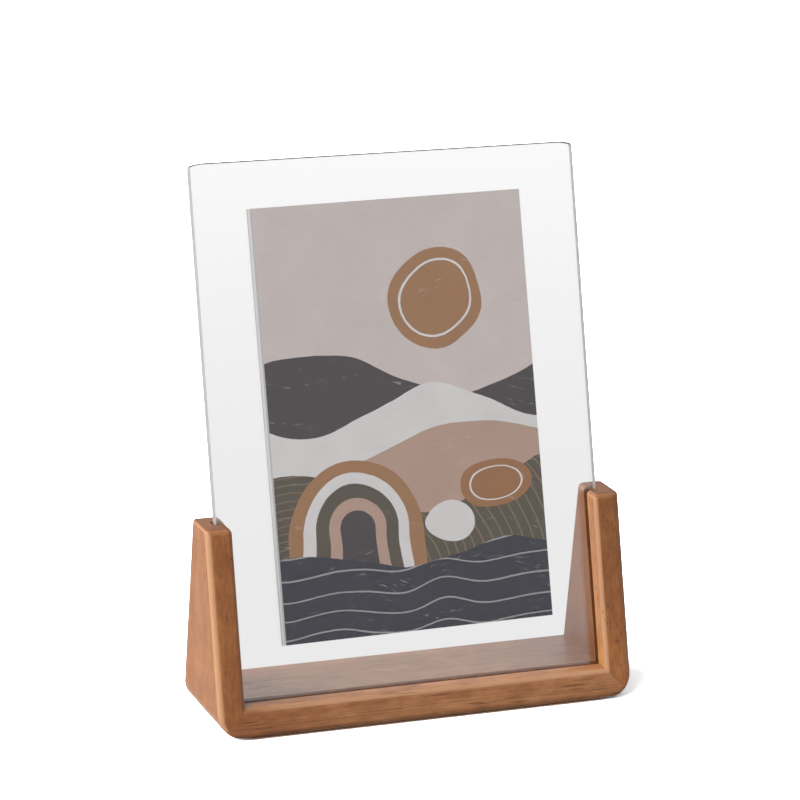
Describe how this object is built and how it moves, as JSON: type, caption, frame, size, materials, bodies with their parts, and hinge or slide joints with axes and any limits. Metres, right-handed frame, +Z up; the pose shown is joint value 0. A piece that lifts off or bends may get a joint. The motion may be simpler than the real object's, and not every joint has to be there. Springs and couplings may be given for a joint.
{
  "type": "picture frame",
  "caption": "Tabletop picture frame: glass sheets with a print between them lean back in a grooved, mitred wooden stand and lift out upwards.",
  "frame": {"origin": "centre of the bounding box on the surface that the stand rests on", "axes": "+Z up, -Y towards the viewer of the print, +X to the viewer's right"},
  "size_m": [0.1542, 0.0578, 0.1923],
  "materials": {
    "stand_wood": "oiled, satin",
    "dowel_wood": "bare beech",
    "pad_felt": "pressed felt",
    "clear_glass": "polished, edges ground",
    "print_paper": "satin photo paper"
  },
  "bodies": {
    "stand": {"base_rail": "stand_wood", "left_upright": "stand_wood", "right_upright": "stand_wood", "left_dowel_1": "dowel_wood", "left_dowel_2": "dowel_wood", "right_dowel_1": "dowel_wood", "right_dowel_2": "dowel_wood", "front_left_pad": "pad_felt", "front_right_pad": "pad_felt", "rear_left_pad": "pad_felt", "rear_right_pad": "pad_felt"},
    "front_glass": {"front_glass": "clear_glass"},
    "rear_glass": {"rear_glass": "clear_glass"},
    "print": {"print": "print_paper"}
  },
  "joints": [
    {"name": "front_glass_lift", "type": "slide", "parent": "stand", "child": "front_glass", "axis": [0, 0.2419, 0.9703], "range_m": [0, 0.07]},
    {"name": "rear_glass_lift", "type": "slide", "parent": "stand", "child": "rear_glass", "axis": [0, 0.2419, 0.9703], "range_m": [0, 0.07]},
    {"name": "print_slide", "type": "slide", "parent": "rear_glass", "child": "print", "axis": [0, 0.2419, 0.9703], "range_m": [0, 0.172]}
  ]
}
